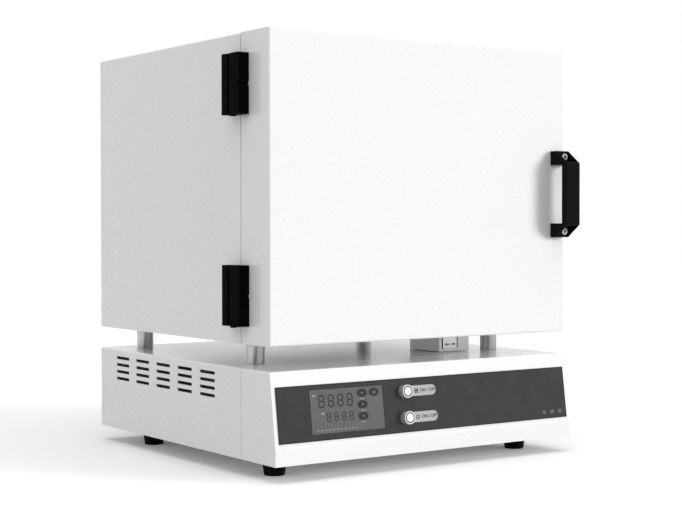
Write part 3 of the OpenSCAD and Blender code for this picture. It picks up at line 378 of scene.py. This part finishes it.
HINGE_BLACK = (0.003, 0.003, 0.0031)
HANDLE_BLACK = (0.0085, 0.0085, 0.0088)
# Paler colour painted along the edges of the black mouldings as a painted highlight, and the width of
# that band
EDGE_HIGHLIGHT = (0.035, 0.035, 0.036)
HIGHLIGHT_WIDTH = 0.8 * MM
MATERIALS = {
    "coat_white": powder_coat(),
    "zinc_sheet": zinc(),
    "stainless": brushed("stainless", (0.66, 0.66, 0.65), 0.3, "x"),
    "column_steel": turned("column_steel", (0.62, 0.61, 0.59), 0.32, 1.0, 0.95),
    "panel_dark": grained_plastic("panel_dark", (0.039, 0.039, 0.0395), 0.5, 0.0007, 0.00002, 0.25),
    "window_grey": glossy_film("window_grey", (0.112, 0.112, 0.114), 0.2, 0.35),
    "key_blue": glossy_film("key_blue", (0.026, 0.027, 0.035), 0.35, 0.3),
    "plastic_black": grained_plastic("plastic_black", (0.02, 0.02, 0.021), 0.55),
    "board_green": circuit_board(),
    "display_block": glossy_film("display_block", (0.02, 0.02, 0.022), 0.2),
    "label_metal": brushed("label_metal", (0.55, 0.55, 0.547), 0.34, "x", 0.0003, 0.02, 0.00001),
    "button_steel": turned("button_steel", (0.8, 0.8, 0.795), 0.34, 0.7),
    "lens_white": lens(),
    "ring_black": grained_plastic("ring_black", (0.03, 0.03, 0.031), 0.4),
    "rubber_black": rubber(),
    "screw_steel": cast_metal("screw_steel", (0.5, 0.505, 0.51), 0.28),
    "sink_aluminium": brushed("sink_aluminium", (0.62, 0.63, 0.64), 0.36, "y"),
    "contactor_grey": grained_plastic("contactor_grey", (0.58, 0.58, 0.55), 0.5),
    "hot_board": fibre_board("hot_board", (0.86, 0.845, 0.79), (0.74, 0.62, 0.45)),
    "backing_board": fibre_board("backing_board", (0.8, 0.78, 0.72), (0.7, 0.6, 0.46)),
    "seal_fibre": woven_seal(),
    "hearth_ceramic": fired_ceramic("hearth_ceramic", (0.74, 0.67, 0.55), (0.36, 0.24, 0.15),
                                    0.7, 0.75),
    "rod_alloy": cast_metal("rod_alloy", (0.17, 0.155, 0.145), 0.55),
    "porcelain": fired_ceramic("porcelain", (0.84, 0.82, 0.77), (0.6, 0.52, 0.42), 0.4, 0.3),
    "head_metal": cast_metal("head_metal", (0.5, 0.51, 0.52), 0.38),
    "damper_grey": fine_zinc(),
    "slide_metal": brushed("slide_metal", (0.88, 0.88, 0.87), 0.38, "x", 0.0004, 0.02, 0.00002),
    "hinge_black": moulded_grip("hinge_black", HINGE_BLACK, 0.0006, 0.00003, 0.006),
    "handle_black": moulded_grip("handle_black", HANDLE_BLACK, 0.0008, 0.00004, 0.015),
    "magnet_grey": grained_plastic("magnet_grey", (0.1, 0.1, 0.105), 0.6),
}
INK_LIGHT = printed_ink("ink_light", (0.27, 0.27, 0.28))
INK_DARK = printed_ink("ink_dark", (0.02, 0.02, 0.022), 0.5, 0.15)
INK_SEGMENT = printed_ink("ink_segment", (0.03, 0.03, 0.031), 0.3, 0.2)
INK_LINE = printed_ink("ink_line", (0.017, 0.017, 0.018), 0.5)

# Width of the rounded edges of each node, in mm
EDGE_WIDTHS = {
    "handle": 0.7, "casing_hinge_leaves": 0.5, "door_hinge_leaves": 0.5,
    "columns": 0.5, "feet": 1.0, "damper_box": 0.25, "damper_slide": 0.15,
    "control_panel": 0.25, "display_window": 0.2, "touch_keys": 0.18,
    "label_plates": 0.2, "heater_button_housing": 0.4, "power_button_housing": 0.4,
    "heater_button_cap": 0.6, "power_button_cap": 0.6, "button_rings": 0.2,
    "handle_screws": 0.5, "hinge_pins": 0.5, "exhaust_tube": 0.5, "cable_gland": 0.5,
    "front_frame": 0.3, "door_inner_panel": 0.3, "door_plug": 2.0, "door_seal": 0.5,
    "hearth_plate": 1.2, "heater_terminals": 1.0, "thermocouple_head": 1.0,
    "muffle_left": 1.0, "muffle_right": 1.0, "catch_magnets": 0.4,
    "power_contactor": 0.8, "solid_state_relay": 0.6, "heat_sink": 0.3,
    "door_shell": 0.4, "casing_wrap": 0.3, "base_cover": 0.3, "front_bezel": 0.6,
    "casing_rear": 0.3, "base_rear_panel": 0.3,
}


WELD_DISTANCE = 1e-6
FLAT_ANGLE = math.radians(0.5)
SHARP_ANGLE = math.radians(28)
EDGE_SEGMENTS = 3


def round_edges(node, width):
    """Joins the CAD's triangles into flat faces, then rounds every sharp edge."""
    weld = node.modifiers.new("weld", "WELD")
    weld.merge_threshold = WELD_DISTANCE
    flat = node.modifiers.new("flat", "DECIMATE")
    flat.decimate_type = "DISSOLVE"
    flat.angle_limit = FLAT_ANGLE
    bevel = node.modifiers.new("bevel", "BEVEL")
    bevel.width = width
    bevel.segments = EDGE_SEGMENTS
    bevel.limit_method = "ANGLE"
    bevel.angle_limit = SHARP_ANGLE
    bevel.harden_normals = True


def dress_nodes():
    """Gives each CAD node the material of its slot, and rounded edges where they show."""
    for part in frame["record"]["subparts"]:
        node = NODES[part["node"]]
        node.data.materials.clear()
        node.data.materials.append(MATERIALS[part["material_slot"]])
        if part["node"] in EDGE_WIDTHS:
            round_edges(node, EDGE_WIDTHS[part["node"]] * MM)


dress_nodes()

# ------------------------------------------------------- mesh construction


def add_piece(name, mesh, material, body="root"):
    """Puts the mesh in the scene as a piece that rides on body."""
    mesh.materials.clear()
    mesh.materials.append(material)
    piece = to_scene(bpy.data.objects.new(name, mesh))
    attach(piece, body)


def close_mesh(name, bm):
    """Mesh of the closed solids in bm, their faces turned outwards."""
    bmesh.ops.recalc_face_normals(bm, faces=bm.faces)
    mesh = bpy.data.meshes.new(name)
    bm.to_mesh(mesh)
    bm.free()
    return mesh


def prisms_mesh(name, outlines, low, high, place):
    """One closed prism for each outline of (x, y) points, from low to high, moved by place."""
    bm = bmesh.new()
    for outline in outlines:
        base = [bm.verts.new((x, y, low)) for x, y in outline]
        top = [bm.verts.new((x, y, high)) for x, y in outline]
        bm.faces.new(list(reversed(base)))
        bm.faces.new(top)
        for i in range(len(outline)):
            j = (i + 1) % len(outline)
            bm.faces.new((base[i], base[j], top[j], top[i]))
    bm.transform(place)
    return close_mesh(name, bm)


def bar(x, y, width, height, corner=0.0):
    """Outline of a rectangle with its middle at x, y, and corners rounded where corner isn't 0."""
    if not corner:
        w, h = width / 2, height / 2
        return [(x - w, y - h), (x + w, y - h), (x + w, y + h), (x - w, y + h)]
    points = []
    steps = 4
    centres = ((1, 1, 0), (-1, 1, 90), (-1, -1, 180), (1, -1, 270))
    for sx, sy, start in centres:
        cx = x + sx * (width / 2 - corner)
        cy = y + sy * (height / 2 - corner)
        for i in range(steps + 1):
            angle = math.radians(start + 90 * i / steps)
            points.append((cx + corner * math.cos(angle), cy + corner * math.sin(angle)))
    return points


def arc_band(x, y, inner, thick, start, end, steps=28):
    """Outline of an arc from radius inner outwards, between two angles in degrees."""
    outer = inner + thick
    angles = [math.radians(start + (end - start) * i / steps) for i in range(steps + 1)]
    outside = [(x + outer * math.cos(a), y + outer * math.sin(a)) for a in angles]
    inside = [(x + inner * math.cos(a), y + inner * math.sin(a)) for a in reversed(angles)]
    return outside + inside


def triangle(x, y, size, turn):
    """Outline of an arrowhead that points up, turned by an angle in degrees."""
    points = []
    for angle in (90, 210, 330):
        a = math.radians(angle + turn)
        points.append((x + size * math.cos(a), y + size * math.sin(a)))
    return points


# Turns that make what faces up face the rear or the front
FACE_REAR = Matrix.Rotation(-math.pi / 2, 4, "X")
FACE_FRONT = Matrix.Rotation(math.pi / 2, 4, "X")

# ------------------------------------------------- things on the sloping front

# The front leans back by SLOPE_RUN for SLOPE_RISE of height, in mm. Insets and drops are measured
# down the slope from its top edge, and PRINT is how thick a printed mark is.
SLOPE_RUN = 14
SLOPE_RISE = 100
SLOPE_ANGLE = math.atan(SLOPE_RUN / SLOPE_RISE)
PANEL_THICKNESS = 1.2 * MM
PANEL_TOP_INSET = 20 * MM
PANEL_HEIGHT = 74 * MM
CONTROLS_DROP = 56.25 * MM
WINDOW_HEIGHT = 58 * MM
WINDOW_TOP = CONTROLS_DROP - WINDOW_HEIGHT / 2
PRINT = 0.08 * MM

panel_low, panel_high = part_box("control_panel")
window_low, window_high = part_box("display_window")


def slope_place(x):
    """Frame of the sloping front, from its top edge: x along it, y up it, z out of it."""
    low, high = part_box("front_bezel")
    turn = Matrix.Rotation(math.pi / 2 - SLOPE_ANGLE, 4, "X")
    return Matrix.Translation((x, low.y + SLOPE_RUN * MM, high.z)) @ turn


def panel_face():
    """Slope frame on the face of the control panel."""
    return slope_place(0) @ Matrix.Translation((0, 0, PANEL_THICKNESS))


def window_frame():
    """Slope frame whose origin is the top left corner of the display window."""
    return slope_place(window_low.x) @ Matrix.Translation((0, -WINDOW_TOP, PANEL_THICKNESS))


def segment(x, y, length, width, upright):
    """Outline of one display segment with pointed ends."""
    h, w = length / 2, width / 2
    points = [(-h, 0), (-h + w, -w), (h - w, -w), (h, 0), (h - w, w), (-h + w, w)]
    if upright:
        points = [(-q, p) for p, q in points]
    return [(x + p, y + q) for p, q in points]


def digit(x, y, width, height, stroke):
    """The seven segments of a digit with its middle at x, y."""
    gap = 0.25 * stroke
    w = width - stroke
    h = (height - stroke) / 2
    flat = [segment(x, y + k * h, w - gap, stroke, False) for k in (-1, 0, 1)]
    upright = [segment(x + i * w / 2, y + k * h / 2, h - gap, stroke, True)
               for i in (-1, 1) for k in (-1, 1)]
    return flat + upright


# Size and place of each row of digits, in mm from the top left corner of the window
DIGIT_ROWS = (
    {"first": 17.9, "pitch": 15.2, "middle": 15.5, "width": 9.8, "height": 17.0, "stroke": 2.0},
    {"first": 27.9, "pitch": 12.2, "middle": 37.0, "width": 6.8, "height": 12.5, "stroke": 1.4},
)
DIGITS = 4


def make_digits():
    """Unlit segments of the two number displays."""
    outlines = []
    for row in DIGIT_ROWS:
        for i in range(DIGITS):
            x = (row["first"] + i * row["pitch"]) * MM
            size = [row[key] * MM for key in ("width", "height", "stroke")]
            outlines += digit(x, -row["middle"] * MM, *size)
    mesh = prisms_mesh("digit_segments", outlines, 0, PRINT, window_frame())
    add_piece("digit_segments", mesh, INK_SEGMENT)


# Marks on the window: the middle of the first, in mm from its top left corner, the step to the
# next, how many there are, and the width, height and corner of one
WINDOW_MARKS = (
    {"first": (10, 53.6), "step": (6.15, 0), "count": 11, "size": (3.6, 1.3, 0.4)},
    {"first": (6.5, 7.6), "step": (12.3, 23.9), "count": 2, "size": (5.5, 2.6, 0.6)},
    {"first": (83.9, 16.0), "step": (0, 15.5), "count": 3, "size": (6.0, 1.4, 0.5)},
)
MARK_THICKNESS = 0.7 * PRINT


def make_window_marks():
    """Plain bars where a controller has its captions."""
    outlines = []
    for row in WINDOW_MARKS:
        (x, drop), (right, down) = row["first"], row["step"]
        size = [length * MM for length in row["size"]]
        outlines += [bar((x + i * right) * MM, -(drop + i * down) * MM, *size)
                     for i in range(row["count"])]
    mesh = prisms_mesh("window_marks", outlines, 0, MARK_THICKNESS, window_frame())
    add_piece("window_marks", mesh, INK_LIGHT)


KEY_RADIUS = 8.25 * MM
KEY_HEIGHT = 0.5 * MM
KEY_DROP = 8.0 * MM
KEY_PITCH = 15.5 * MM
KEY_ARROW = 1.7 * MM


def make_key_symbols():
    """Arrowheads on the left keys and an open ring on the right one."""
    low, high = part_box("touch_keys")
    left = low.x + KEY_RADIUS - window_low.x
    right = high.x - KEY_RADIUS - window_low.x
    outlines = [triangle(left, -KEY_DROP - i * KEY_PITCH, KEY_ARROW, turn)
                for i, turn in enumerate((90, 0, 180))]
    outlines.append(arc_band(right, -KEY_DROP, 1.5 * MM, 0.8 * MM, 120, 420))
    mesh = prisms_mesh("key_symbols", outlines, KEY_HEIGHT, KEY_HEIGHT + PRINT, window_frame())
    add_piece("key_symbols", mesh, INK_LIGHT)


PANEL_LINE = 1.5 * MM
SIDE_LINE = 1.2 * MM


def make_panel_lines():
    """Dark border lines of the panel film, along its edges and beside the window."""
    centre = (panel_low.x + panel_high.x) / 2
    width = panel_high.x - panel_low.x
    outlines = [bar(centre, -PANEL_TOP_INSET - PANEL_LINE / 2, width, PANEL_LINE),
                bar(centre, -PANEL_TOP_INSET - PANEL_HEIGHT + PANEL_LINE / 2, width, PANEL_LINE)]
    for x in (window_low.x - SIDE_LINE / 2, window_high.x + SIDE_LINE / 2):
        outlines.append(bar(x, -WINDOW_TOP - WINDOW_HEIGHT / 2, SIDE_LINE, WINDOW_HEIGHT))
    for x in (panel_low.x + SIDE_LINE / 2, panel_high.x - SIDE_LINE / 2):
        height = PANEL_HEIGHT - 2 * PANEL_LINE
        outlines.append(bar(x, -PANEL_TOP_INSET - PANEL_HEIGHT / 2, SIDE_LINE, height))
    mesh = prisms_mesh("panel_lines", outlines, 0, PRINT, panel_face())
    add_piece("panel_lines", mesh, INK_LINE)


# Marks in the lower right corner of the panel: place of the last pair from the right and bottom
# edges, step to the next, a dash's width, height and corner, and how far it is from the middle
MARKS_RIGHT = 13 * MM
MARKS_RISE = 9.5 * MM
MARKS_PITCH = 15 * MM
DASH_SIZE = (7 * MM, 1.1 * MM, 0.3 * MM)
DASH_APART = 1.5 * MM


def make_panel_marks():
    """Plain ring and pairs of dashes in the lower right corner of the panel."""
    right = panel_high.x - MARKS_RIGHT
    rise = MARKS_RISE - PANEL_TOP_INSET - PANEL_HEIGHT
    outlines = [bar(right - i * MARKS_PITCH, rise + side * DASH_APART, *DASH_SIZE)
                for i in range(2) for side in (-1, 1)]
    outlines.append(arc_band(right - 2 * MARKS_PITCH, rise, 1.6 * MM, 1.0 * MM, 20, 340))
    mesh = prisms_mesh("panel_marks", outlines, 0, PRINT, panel_face())
    add_piece("panel_marks", mesh, INK_LIGHT)


BUTTON_DROPS = {"heater": 38.25 * MM, "power": 74.25 * MM}
LABEL_TOP = PANEL_THICKNESS + 0.8 * MM

# Signs and words on the label plates: places along the plate from the middle of its button,
# the heat sign's waves, each an upper and a lower arc with the place of its centre and its two
# angles, the ring of the mains sign, and the words' size and boldness
SIGN_X = 20.5 * MM
SIGN_STROKE = 1.1 * MM
WAVE_COUNT = 3
WAVE_HALVES = ((-0.9 * MM, 1.3 * MM, -60, 60), (2.9 * MM, -1.2 * MM, 120, 240))
WAVE_PITCH = 2.2 * MM
WAVE_RADIUS = 1.5 * MM
WAVE_STEPS = 10
RING_RADIUS = 2.0 * MM
RING_BAR_RISE = 1.9 * MM
RING_BAR_HEIGHT = 2.6 * MM
WORDS_X = 27.5 * MM
WORDS_SIZE = 6.4 * MM
WORDS_BOLD = 0.12 * MM
WORDS_STEPS = 3


def label_frame():
    """Slope frame whose x counts from the middle of the two buttons."""
    low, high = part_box("heater_button_cap")
    return slope_place((low.x + high.x) / 2)


def make_label_symbols():
    """Generic signs on the label plates: heat above, mains switch below."""
    heater, power = -BUTTON_DROPS["heater"], -BUTTON_DROPS["power"]
    outlines = []
    for i in range(WAVE_COUNT):
        x = SIGN_X + (i - 1) * WAVE_PITCH
        outlines += [arc_band(x + right, heater + up, WAVE_RADIUS, SIGN_STROKE, start, end, WAVE_STEPS)
                     for right, up, start, end in WAVE_HALVES]
    outlines.append(arc_band(SIGN_X, power, RING_RADIUS, SIGN_STROKE, 125, 415))
    outlines.append(bar(SIGN_X, power + RING_BAR_RISE, SIGN_STROKE, RING_BAR_HEIGHT))
    mesh = prisms_mesh("label_symbols", outlines, LABEL_TOP, LABEL_TOP + PRINT, label_frame())
    add_piece("label_symbols", mesh, INK_DARK)


def make_label_words():
    """ON and OFF beside each sign."""
    for name, drop in BUTTON_DROPS.items():
        curve = bpy.data.curves.new("words", "FONT")
        curve.body = "ON / OFF"
        curve.size = WORDS_SIZE
        curve.offset = WORDS_BOLD
        curve.extrude = PRINT / 2
        curve.resolution_u = WORDS_STEPS
        curve.align_y = "CENTER"
        words = to_scene(bpy.data.objects.new("words", curve))
        bpy.context.view_layer.update()
        evaluated = words.evaluated_get(bpy.context.evaluated_depsgraph_get())
        mesh = bpy.data.meshes.new_from_object(evaluated)
        bpy.data.objects.remove(words)
        mesh.transform(label_frame() @ Matrix.Translation((WORDS_X, -drop, LABEL_TOP + PRINT / 2)))
        add_piece(name + "_words", mesh, INK_DARK)


# Double arrow: its middle from the slide's lower left corner, half its length, and its strokes
ARROW_X = 13.6 * MM
ARROW_RISE = 9.0 * MM
ARROW_HALF = 10 * MM
ARROW_HEAD = 4 * MM
ARROW_STROKE = 1 * MM
ENGRAVING_DEPTH = 0.4 * MM


def make_slide_arrow():
    """Paint in the double arrow engraved in the damper slide: the way it travels."""
    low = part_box("damper_slide")[0]
    outlines = [bar(0, 0, 2 * ARROW_HALF - ARROW_HEAD, ARROW_STROKE)]
    for side in (-1, 1):
        inner = side * (ARROW_HALF - ARROW_HEAD)
        wing = 0.6 * ARROW_HEAD
        outlines.append([(side * ARROW_HALF, 0), (inner, wing), (inner, -wing)])
    spot = Vector((low.x + ARROW_X, low.y + ENGRAVING_DEPTH, low.z + ARROW_RISE))
    mesh = prisms_mesh("slide_arrow", outlines, 0, PRINT, Matrix.Translation(spot) @ FACE_FRONT)
    add_piece("slide_arrow", mesh, INK_DARK, "damper")


make_digits()
make_window_marks()
make_key_symbols()
make_panel_lines()
make_panel_marks()
make_label_symbols()
make_label_words()
make_slide_arrow()

# ------------------------------------------------------------------ screws

# Flat screw heads, the corners of their sockets, and how far they sit from a plate's edge
SCREW_RADIUS = 3.6 * MM
SCREW_HEIGHT = 0.45 * MM
SOCKET_RADIUS = 1.7 * MM
SOCKET_DEPTH = 0.4 * MM
SCREW_EDGE = 0.3 * MM
SCREW_INSET = 30 * MM
SCREW_STEPS = 48


def ring_points(radius_at, z):
    """Points at height z round the z axis, at the radius that radius_at gives for an angle."""
    points = []
    for i in range(SCREW_STEPS):
        angle = 2 * math.pi * i / SCREW_STEPS
        r = radius_at(angle)
        points.append((r * math.cos(angle), r * math.sin(angle), z))
    return points


def socket_radius(angle):
    """Radius of a hexagonal socket at an angle."""
    flat = (angle + math.pi / 6) % (math.pi / 3) - math.pi / 6
    return SOCKET_RADIUS * math.cos(math.pi / 6) / math.cos(flat)


def screws_mesh(name, places):
    """Round heads with a hexagonal socket, each about the z axis of its place."""
    head = ((SCREW_RADIUS, 0.0), (SCREW_RADIUS, SCREW_HEIGHT - SCREW_EDGE),
            (SCREW_RADIUS - SCREW_EDGE, SCREW_HEIGHT))
    rings = [ring_points(lambda angle, r=r: r, z) for r, z in head]
    rings += [ring_points(socket_radius, z) for z in (SCREW_HEIGHT, SCREW_HEIGHT - SOCKET_DEPTH)]
    bm = bmesh.new()
    for place in places:
        verts = [[bm.verts.new(place @ Vector(p)) for p in ring] for ring in rings]
        for lower, upper in zip(verts, verts[1:]):
            for i in range(SCREW_STEPS):
                j = (i + 1) % SCREW_STEPS
                bm.faces.new((lower[i], lower[j], upper[j], upper[i]))
        bm.faces.new(list(reversed(verts[0])))
        bm.faces.new(verts[-1])
    return close_mesh(name, bm)


def make_frame_screws(node, y, face, body):
    """Flat heads round a plate, in three rows of three without the middle one."""
    low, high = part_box(node)
    xs = (low.x + SCREW_INSET, (low.x + high.x) / 2, high.x - SCREW_INSET)
    zs = (low.z + SCREW_INSET, (low.z + high.z) / 2, high.z - SCREW_INSET)
    places = [Matrix.Translation((x, y, z)) @ face
              for x in xs for z in zs if (x, z) != (xs[1], zs[1])]
    name = node + "_screws"
    add_piece(name, screws_mesh(name, places), MATERIALS["screw_steel"], body)


make_frame_screws("front_frame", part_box("front_frame")[0].y, FACE_FRONT, "root")
make_frame_screws("door_inner_panel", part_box("door_inner_panel")[1].y, FACE_REAR, "door")

# ------------------------------------------------------------------- stage

WHITE = (1.0, 1.0, 1.0, 1.0)
AMBIENT = 0.38
FLOOR_SHOWN = (0.95, 0.95, 0.95, 1.0)
FLOOR_BOUNCE = (0.5, 0.5, 0.5, 1.0)
FLOOR_GLOW = 0.07
FLOOR_HALF = 9.0


def empty_tree(owner):
    """Node tree of a world or material, with nothing in it."""
    owner.use_nodes = True
    owner.node_tree.nodes.clear()
    return owner.node_tree


def set_stage(name, verts, faces, material):
    """Puts a mesh in the scene that isn't part of the object."""
    mesh = bpy.data.meshes.new(name)
    mesh.from_pydata(verts, [], faces)
    mesh.materials.append(material)
    thing = to_scene(bpy.data.objects.new(name, mesh))
    return thing


def seen_directly(tree):
    """1 for rays from the camera, from glossy surfaces and through clear ones, else 0."""
    path = tree.nodes.new("ShaderNodeLightPath")
    total = path.outputs["Is Camera Ray"]
    for name in ("Is Glossy Ray", "Is Transmission Ray"):
        either = tree.nodes.new("ShaderNodeMath")
        either.operation = "MAXIMUM"
        tree.links.new(total, either.inputs[0])
        tree.links.new(path.outputs[name], either.inputs[1])
        total = either.outputs[0]
    return total


def make_world():
    """White where it is seen, dimmer where it lights the object."""
    world = bpy.data.worlds.new("studio")
    bpy.context.scene.world = world
    tree = empty_tree(world)
    shown, light = (tree.nodes.new("ShaderNodeBackground") for _ in range(2))
    shown.inputs["Color"].default_value = WHITE
    light.inputs["Color"].default_value = WHITE
    light.inputs["Strength"].default_value = AMBIENT
    mix = tree.nodes.new("ShaderNodeMixShader")
    out = tree.nodes.new("ShaderNodeOutputWorld")
    tree.links.new(seen_directly(tree), mix.inputs["Fac"])
    tree.links.new(light.outputs[0], mix.inputs[1])
    tree.links.new(shown.outputs[0], mix.inputs[2])
    tree.links.new(mix.outputs[0], out.inputs["Surface"])


def make_floor():
    """White floor that keeps the shadow of the furnace."""
    material = bpy.data.materials.new("studio_floor")
    tree = empty_tree(material)
    mix = tree.nodes.new("ShaderNodeMixShader")
    tree.links.new(seen_directly(tree), mix.inputs["Fac"])
    bounce, shown = (tree.nodes.new("ShaderNodeBsdfDiffuse") for _ in range(2))
    bounce.inputs["Color"].default_value = FLOOR_BOUNCE
    shown.inputs["Color"].default_value = FLOOR_SHOWN
    glow = tree.nodes.new("ShaderNodeEmission")
    glow.inputs["Strength"].default_value = FLOOR_GLOW
    both = tree.nodes.new("ShaderNodeAddShader")
    tree.links.new(shown.outputs[0], both.inputs[0])
    tree.links.new(glow.outputs[0], both.inputs[1])
    tree.links.new(bounce.outputs[0], mix.inputs[1])
    tree.links.new(both.outputs[0], mix.inputs[2])
    out = tree.nodes.new("ShaderNodeOutputMaterial")
    tree.links.new(mix.outputs[0], out.inputs["Surface"])
    h = FLOOR_HALF
    set_stage("floor", [(-h, -h, 0), (h, -h, 0), (h, h, 0), (-h, h, 0)], [(0, 1, 2, 3)], material)


# Dark cards round the set, which only metal and gloss see. From and to are compass angles,
# from +Y towards +X; level is how bright a card is.
CARDS = (
    {"from": 343, "to": 397, "level": 0.02, "top": 0.21},
    {"from": 192, "to": 238, "level": 0.02, "top": 1.6},
    {"from": 41, "to": 112, "level": 0.02, "top": 0.17},
)
CARD_RADIUS = 1.6
CARD_FOOT = 0.004
CARD_STEPS = 16


def make_cards():
    for number, look in enumerate(CARDS, 1):
        verts = []
        for i in range(CARD_STEPS + 1):
            angle = math.radians(look["from"] + (look["to"] - look["from"]) * i / CARD_STEPS)
            x, y = CARD_RADIUS * math.sin(angle), CARD_RADIUS * math.cos(angle)
            verts += [(x, y, CARD_FOOT), (x, y, look["top"])]
        faces = [(2 * i, 2 * i + 2, 2 * i + 3, 2 * i + 1) for i in range(CARD_STEPS)]
        material = bpy.data.materials.new("card")
        tree = empty_tree(material)
        glow = tree.nodes.new("ShaderNodeEmission")
        glow.inputs["Strength"].default_value = look["level"]
        out = tree.nodes.new("ShaderNodeOutputMaterial")
        tree.links.new(glow.outputs[0], out.inputs["Surface"])
        card = set_stage(f"card_{number}", verts, faces, material)
        card.visible_camera = False
        card.visible_diffuse = False
        card.visible_shadow = False
        card.visible_transmission = False


# Soft suns, which gloss doesn't see: the way the light travels, how wide its source looks in
# degrees, and its strength
SUNS = {
    "key": ((-0.62, 0.75, -0.21), 22, 2.05),
    "top": ((0.0, 0.15, -1.0), 60, 1.25),
    "side": ((0.8, 0.25, -0.75), 80, 0.62),
}


def make_lamps():
    for name, (towards, angle, strength) in SUNS.items():
        data = bpy.data.lights.new(name, "SUN")
        data.angle = math.radians(angle)
        data.energy = strength
        lamp = to_scene(bpy.data.objects.new(name, data))
        lamp.rotation_euler = Vector(towards).to_track_quat("-Z", "Y").to_euler()
        lamp.visible_glossy = False


make_world()
make_floor()
make_cards()
make_lamps()
bpy.context.scene.view_settings.view_transform = "Standard"
